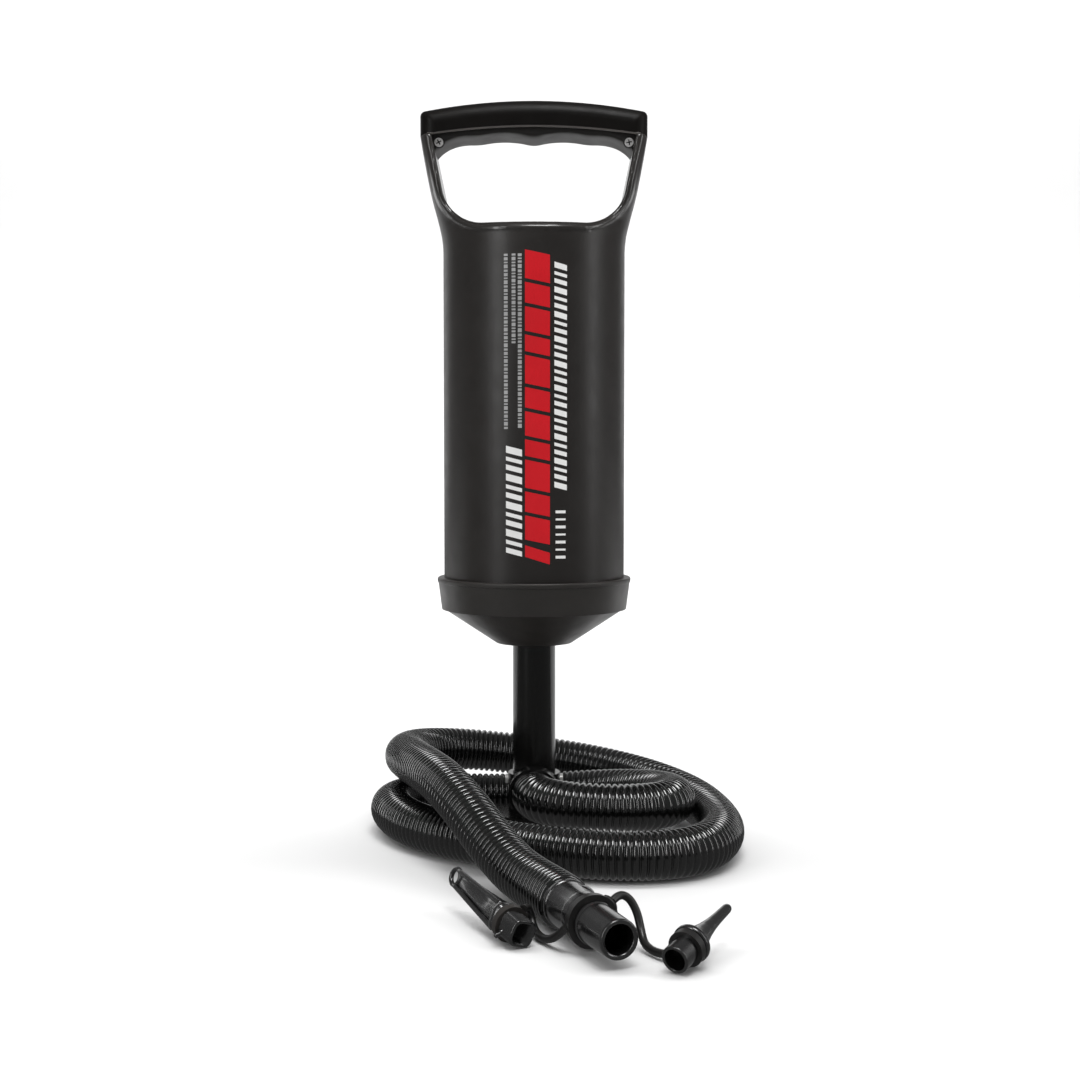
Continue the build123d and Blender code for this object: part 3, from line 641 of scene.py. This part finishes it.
def seam_bead():
    """The thin bead under the grip cap's front and back edges, in a much lighter colour than the
    grip: a painted highlight along the seam.
    """
    for name, y in (("seam_bead_front", -BEAD_OUT), ("seam_bead_back", BEAD_OUT)):
        xs = np.linspace(-BEAD_HALF, BEAD_HALF, 61)
        line = np.stack([xs, np.full_like(xs, y), seam_height(xs) - BEAD_DROP], axis=1)
        bead = new_mesh(name, rings_round(line, BEAD_R, BEAD_SEGMENTS) * MM,
                        tube_faces(len(line), BEAD_SEGMENTS))
        # the lighter finish paints the highlight of the seam's bright line
        dress(bead, "ridge", "cylinder")


seam_bead()

GRIP_SCREWS = (("left", -45.3, 336.0, 0.5), ("right", 45.3, 336.0, 0.2))  # side, x, z, turn
SCREW_FACE = -12.8  # front of the screw heads
# the cross is a thin dark plate: painted shade standing in for the screw's recess
CROSS_REACH, CROSS_HALF = 1.35, 0.28  # half length and half width of the cross recess's bars


def screw_details(name, x, z, turn):
    """A thin dark cross on a screw's head, painted shade where its cross recess is, and the seat
    ring round it.
    """
    points, faces = [], []
    for quarter in (0, pi / 2):
        a = turn + quarter
        long_way, short_way = (cos(a), sin(a)), (-sin(a), cos(a))
        start = len(points)
        for y in (SCREW_FACE + 0.2, SCREW_FACE - 0.03):
            for u, v in ((-1, -1), (1, -1), (1, 1), (-1, 1)):
                u, v = u * CROSS_REACH, v * CROSS_HALF
                points.append((MM * (x + long_way[0] * u + short_way[0] * v), MM * y,
                               MM * (z + long_way[1] * u + short_way[1] * v)))
        b = start
        faces += [(b + 3, b + 2, b + 1, b), (b + 4, b + 5, b + 6, b + 7)]
        faces += [(b + k, b + (k + 1) % 4, b + 4 + (k + 1) % 4, b + 4 + k) for k in range(4)]
    # the dark cross plate is painted shade for the hollow of the recess
    dress(new_mesh(name + "_shade_cross", points, faces, smooth=False), "nozzle", "cylinder")
    seat = lathe(name + "_seat", rounded([(0, 2.2), (0, 2.9), (0.35, 2.8), (0.35, 2.25)], 0.12),
                 (x, -INSERT_DEPTH / 2 + 0.05, z), (0, -1, 0), 32)
    dress(seat, "insert", "cylinder")


for side, x, z, turn in GRIP_SCREWS:
    screw_details("grip_screw_" + side, x, z, turn)

COLLAR_TOP = 127.7
lip = lathe("collar_lip", rounded([(0, 46.4), (0, 47.2), (1.9, 47.3), (2.4, 46.8), (2.4, 46.0),
                                   (1.2, 45.4)], 0.3), (0, 0, COLLAR_TOP - 2.3), (0, 0, 1), 128)
dress(lip, "collar", "cylinder")

# ------------------------------------------------------------------ generic print on the body
PRINT_BASE, PRINT_SKIN = 43.95, 44.1
PRINT_STEPS = 6
BAR_SPILL = 0.5  # how far a column's last bar may pass its foot
# for each ink, columns of bars: left, right, top, foot, bar lengths in turn, gap, slant
PRINT_COLUMNS = {
    "red": (
        (-4.0, 7.5, 280.0, 146.0, (13.0, 9.4, 11.2, 7.6), 1.7, -2.4),
        (-4.0, 7.5, 143.8, 138.4, (5.4,), 1.7, -3.6),
    ),
    "white": (
        (9.6, 15.6, 275.0, 170.4, (2.6, 1.5, 2.0), 1.7, -1.5),
        (10.2, 15.0, 161.6, 139.0, (1.3, 0.9), 2.4, 0.0),
        (-13.0, -5.4, 190.6, 141.0, (3.2, 1.8, 2.4), 1.8, -1.9),
    ),
    "grey": (
        (-7.3, -5.5, 279.4, 200.0, (1.3, 0.7, 1.0, 1.9), 0.6, 0.0),
        (-10.2, -8.4, 279.4, 238.0, (0.9, 1.6, 0.7), 0.6, 0.0),
        (-13.9, -12.1, 279.4, 199.0, (1.0, 1.4, 0.7, 1.7), 0.6, 0.0),
    ),
}


def print_patch(verts, faces, left, right, low, high, slant):
    """A thin curved plate on the cylinder's front, its ends leaning by slant."""
    start = len(verts)
    for radius in (PRINT_BASE, PRINT_SKIN):
        for i in range(PRINT_STEPS + 1):
            t = i / PRINT_STEPS
            arc = (left + (right - left) * t) / BODY_R
            for z in (low, high):
                verts.append((MM * radius * sin(arc), -MM * radius * cos(arc),
                              MM * (z + slant * (t - 0.5))))
    row = 2 * (PRINT_STEPS + 1)
    for i in range(PRINT_STEPS):
        a = start + 2 * i
        faces.append((a, a + 2, a + 3, a + 1))
        faces.append((a + row, a + row + 1, a + row + 3, a + row + 2))
        faces.append((a, a + row, a + row + 2, a + 2))
        faces.append((a + 1, a + 3, a + row + 3, a + row + 1))
    for a in (start, start + 2 * PRINT_STEPS):
        faces.append((a, a + 1, a + row + 1, a + row))


def hatch(verts, faces, left, right, top, foot, bars, gap, slant):
    """A column of slanted bars from top down to foot."""
    k, high = 0, top
    while high - bars[k % len(bars)] > foot - BAR_SPILL:
        low = high - bars[k % len(bars)]
        print_patch(verts, faces, left, right, low, high, slant)
        high = low - gap
        k += 1


def build_print():
    """Columns of plain bars in red, white and grey on the cylinder's front."""
    for ink, columns in PRINT_COLUMNS.items():
        verts, faces = [], []
        for column in columns:
            hatch(verts, faces, *column)
        dress(new_mesh("print_" + ink, verts, faces, smooth=False), ink + "_ink", "cylinder")


build_print()


# ------------------------------------------------------------------ cuff, nozzle and straps
HOSE_END = Vector(HOSE_ROUTE[-1])
HOSE_WAY = (HOSE_END - Vector(HOSE_ROUTE[-2])).normalized()
CUFF_L, NECK_L = 24.0, 3.8

cuff = lathe("cuff_turned", rounded([
    (0.0, 6.5), (0.0, 9.9), (2.9, 10.0), (3.4, 9.4), (17.5, 9.15), (18.2, 9.4), (23.2, 9.3),
    (24.0, 8.6), (24.0, 6.5)], 0.5), HOSE_END, HOSE_WAY, 64)
dress(cuff, "nozzle", "stand")
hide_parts("hose_end_cuff")

nozzle = lathe("nozzle_turned", rounded([
    (0, 5.4), (0, 7.75), (3.8, 7.75), (3.9, 8.3), (5.6, 8.5), (6.4, 8.1), (26.0, 7.75),
    (26.8, 7.4), (27.0, 6.8), (26.4, 5.7), (24.0, 5.4)], 0.45), HOSE_END + HOSE_WAY * CUFF_L,
    HOSE_WAY, 64)
dress(nozzle, "nozzle", "stand")
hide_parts("outlet_nozzle")


PAD_SINK = 1.2  # how far a pad runs into what it stands on
PAD_TOP = 0.001  # share of a pad's size that its smallest ring has


def pad(name, centre, normal, along, length, width, height, finish, power=2.6):
    """A low rounded oval boss, as moulded on plastic fittings."""
    normal = Vector(normal).normalized()
    along = (Vector(along) - normal * Vector(along).dot(normal)).normalized()
    across = normal.cross(along)
    rings, segments = 10, 40
    levels = [(i / rings + PAD_TOP, height * (1 - (i / rings) ** power)) for i in range(rings + 1)]
    points = []
    for reach, lift in [*levels, (1, -PAD_SINK)]:
        for k in range(segments):
            a = 2 * pi * k / segments
            points.append((Vector(centre) + normal * lift + along * reach * length / 2 * cos(a)
                           + across * reach * width / 2 * sin(a)) * MM)
    return dress(new_mesh(name, points, tube_faces(rings + 2, segments)), finish, "stand")


cuff_side = HOSE_WAY.cross(Vector((0, 0, 1))).normalized()
cuff_up = (Vector((0, 0, 1)) * 0.82 - cuff_side * 0.57).normalized()
cuff_pad = pad("cuff_pad", HOSE_END + HOSE_WAY * 10.5 + cuff_up * 8.7, cuff_up, HOSE_WAY, 10.5,
               6.0, 1.5, "nozzle")


# ------------------------------------------------------------------ adaptors on their straps
PIN_ADAPTOR = (Vector((51.2, -209.5, 5.6)), Vector((74.7, -175.5, 15.0)))
LOOP_ADAPTOR = (Vector((-3.5, -180.4, 5.8)), Vector((-33.5, -127.7, 15.0)))


def build_pin_adaptor():
    """A hollow barrel, a flange and a long taper down to a slim pin."""
    mouth, tip = PIN_ADAPTOR
    end = (tip - mouth).length
    profile = [(0, 4.1), (0, 5.2), (0.4, 5.35), (10.8, 5.35), (11.3, 5.9), (11.6, 7.1), (12.1, 7.4),
               (13.5, 7.4), (14.1, 7.0), (14.3, 5.5), (16.0, 4.9), (19.0, 4.1), (23.0, 3.2),
               (28.0, 2.5), (33.0, 2.15), (end - 1.6, 1.9), (end - 0.5, 1.6), (end, 1.1),
               (end - 0.3, 0.8), (13.5, 0.9), (13.0, 4.1)]
    return lathe("pin_adaptor_turned", rounded(profile, 0.3), mouth, tip - mouth, 56)


def swept(name, line, radius, closed=False, segments=14):
    """A round bar along a line of points, in millimetres."""
    line = np.array(line)
    if closed:
        line = np.concatenate([line, line[:1]])
    return new_mesh(name, rings_round(line, radius, segments) * MM,
                    tube_faces(len(line), segments, not closed))


def squared_loft(name, sections, place, segments=56, power=3.4):
    """Sections (along, half width, half height, lift) joined up, each a rounded square."""
    points = []
    for along, half_width, half_height, lift in sections:
        for k in range(segments):
            a = 2 * pi * k / segments
            across = np.sign(cos(a)) * abs(cos(a)) ** (2 / power) * half_width
            up = np.sign(sin(a)) * abs(sin(a)) ** (2 / power) * half_height
            points.append(place(along, across, up + lift) * MM)
    return new_mesh(name, points, closed_faces(len(sections), segments))


def build_loop_adaptor():
    """A squared barrel, a flange, and a web between two rails that run on into an eye.

    It stands on its edge, with the rails' side to the front."""
    mouth, tip = LOOP_ADAPTOR
    along = (tip - mouth).normalized()
    across = along.cross(Vector((0, 1, -0.05))).normalized()
    up = along.cross(across)
    end = (tip - mouth).length

    def place(a, b, c):
        return mouth + along * a + across * b + up * c

    body = squared_loft("loop_adaptor_body", [
        (0, 4.2, 4.2, 0), (0, 5.0, 5.0, 0), (0.4, 5.3, 5.3, 0), (13.6, 5.35, 5.35, 0),
        (14.0, 5.7, 5.7, 0), (14.4, 6.0, 5.9, 0), (16.2, 6.0, 5.9, 0), (16.7, 5.5, 5.3, 0),
        (17.4, 5.2, 4.0, -0.6), (30.0, 4.3, 3.0, -0.7), (42.0, 3.4, 2.1, -0.6),
        (end - 8.2, 2.7, 1.3, -0.4), (end - 7.6, 2.0, 0.8, -0.3), (end - 8.0, 0.4, 0.2, -0.3),
        (17.0, 0.4, 0.4, 0), (14.0, 4.2, 4.2, 0)], place)
    eye_r, bar = 3.3, 1.0
    eye_at = end - eye_r - bar
    eye = [place(eye_at + eye_r * cos(a), eye_r * sin(a), 0.2)
           for a in np.linspace(0, 2 * pi, 40, endpoint=False)]
    rail = []
    for side in (-1, 1):
        ends = (place(15.8, side * 4.9, 3.4), place(30, side * 4.3, 2.4),
                place(44, side * 3.6, 1.5), place(eye_at - 1.2, side * 3.1, 0.5))
        rail.append([start.lerp(stop, t) for start, stop in zip(ends, ends[1:])
                     for t in np.linspace(0, 1, 6, endpoint=False)] + [ends[-1]])
    pieces = [body, swept("loop_adaptor_eye", eye, bar, closed=True),
              swept("loop_adaptor_rail_left", rail[0], bar),
              swept("loop_adaptor_rail_right", rail[1], bar)]
    stub = place(7.0, 2.8, 4.2)
    pieces.append(lathe("loop_adaptor_pin", rounded([
        (0, 0.05), (0, 1.5), (1.0, 1.5), (1.2, 0.95), (3.4, 0.9), (3.7, 0.6), (3.7, 0.05)], 0.2),
        stub, across * 0.6 + up * 0.7, 24))
    return pieces


pin_piece = build_pin_adaptor()
dress(pin_piece, "nozzle", "stand")
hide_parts("pin_adaptor")
loop_pieces = build_loop_adaptor()
for piece in loop_pieces:
    dress(piece, "nozzle", "stand")
    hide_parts("loop_adaptor")

strap_exit = Vector(RIGHT_STRAP_ROUTE[0])
ring_middle = HOSE_END + HOSE_WAY * (CUFF_L + NECK_L / 2)
strap_lobe = pad("strap_lobe", strap_exit - (strap_exit - ring_middle).normalized() * 0.6,
                 strap_exit - ring_middle, HOSE_WAY.cross(strap_exit - ring_middle), 8.0, 3.6, 1.4,
                 "strap")

for strap_piece, route, fittings in (
    (right_strap, RIGHT_STRAP_ROUTE, [pin_piece, nodes["pin_adaptor_ring"]]),
    (left_strap, LEFT_STRAP_ROUTE, [*loop_pieces, nodes["loop_adaptor_ring"]]),
):
    _, run = spline_line("strap_guide", route)


# ------------------------------------------------------------------ crisp CAD edges
for node in nodes.values():
    if node.hide_render:
        continue
    bevel = node.modifiers.new("edge_round", "BEVEL")
    bevel.width = 0.3 * MM
    bevel.segments = 2
    bevel.limit_method = "ANGLE"
    bevel.angle_limit = radians(35)
    weighted = node.modifiers.new("even_shading", "WEIGHTED_NORMAL")
    weighted.keep_sharp = False


# ------------------------------------------------------------------ floor and light
def floor():
    """A white sweep that curves up at the back.

    Of its three strips, only the flat one behind the object shows in the object's gloss."""
    width, front, middle, back, rise, bend = 4.0, -2.5, 0.1, 1.6, 3.0, 0.6
    curve = [(back - bend + bend * sin(a), bend - bend * cos(a))
             for a in np.linspace(0, pi / 2, 17)]
    white = shader("white_sweep", (0.57, 0.57, 0.57), 0.9)[0]
    for name, profile, in_gloss in (
        ("floor_front", [(front, 0.0), (middle, 0.0)], False),
        ("floor_behind", [(middle, 0.0), (back - bend, 0.0)], True),
        ("floor_rise", [*curve, (back, rise)], False),
    ):
        points = [(x, y, z) for y, z in profile for x in (-width, width)]
        faces = [(2 * i, 2 * i + 1, 2 * i + 3, 2 * i + 2) for i in range(len(profile) - 1)]
        strip = new_mesh(name, points, faces)
        strip.data.materials.append(white)
        strip.visible_glossy = in_gloss


def softbox(name, place, aim, size, power):
    """A rectangular area light at place, turned to aim."""
    light = bpy.data.objects.new(name, bpy.data.lights.new(name, "AREA"))
    light.data.shape = "RECTANGLE"
    light.data.size, light.data.size_y = size
    light.data.energy = power
    light.location = place
    light.rotation_euler = (Vector(aim) - Vector(place)).to_track_quat("-Z", "Y").to_euler()
    scene.collection.objects.link(light)
    return light


floor()
MIDDLE = (0, 0, 0.18)
softbox("left_box", (-1.15, -1.15, 0.75), MIDDLE, (0.25, 1.4), 6.5)
softbox("right_box", (1.55, -0.3, 0.75), MIDDLE, (0.3, 1.4), 4.5)
softbox("top_box", (-0.25, 0.35, 1.6), (0, 0, 0), (1.4, 1.6), 4).visible_glossy = False
softbox("front_box", (0.12, -0.5, 1.3), (0, 0, 0.05), (0.5, 0.5), 8)
softbox("back_box", (-0.1, 1.35, 0.45), MIDDLE, (2.2, 0.7), 3.5).visible_camera = False
softbox("back_wash", (0.0, 0.4, 2.2), (0, 1.6, 0.6), (4.5, 0.8), 100).visible_glossy = False

# a white room to see and to be lit by, dimmer in the gloss of the plastic
ROOM, ROOM_IN_GLOSS = 0.46, 0.15
world = bpy.data.worlds.new("studio")
scene.world = world
world.use_nodes = True
room = world.node_tree.nodes["Background"]
room.inputs["Color"].default_value = (1, 1, 1, 1)
ray = world.node_tree.nodes.new("ShaderNodeLightPath")
strength = world.node_tree.nodes.new("ShaderNodeMapRange")
strength.inputs["To Min"].default_value = ROOM
strength.inputs["To Max"].default_value = ROOM_IN_GLOSS
world.node_tree.links.new(ray.outputs["Is Glossy Ray"], strength.inputs["Value"])
world.node_tree.links.new(strength.outputs["Result"], room.inputs["Strength"])
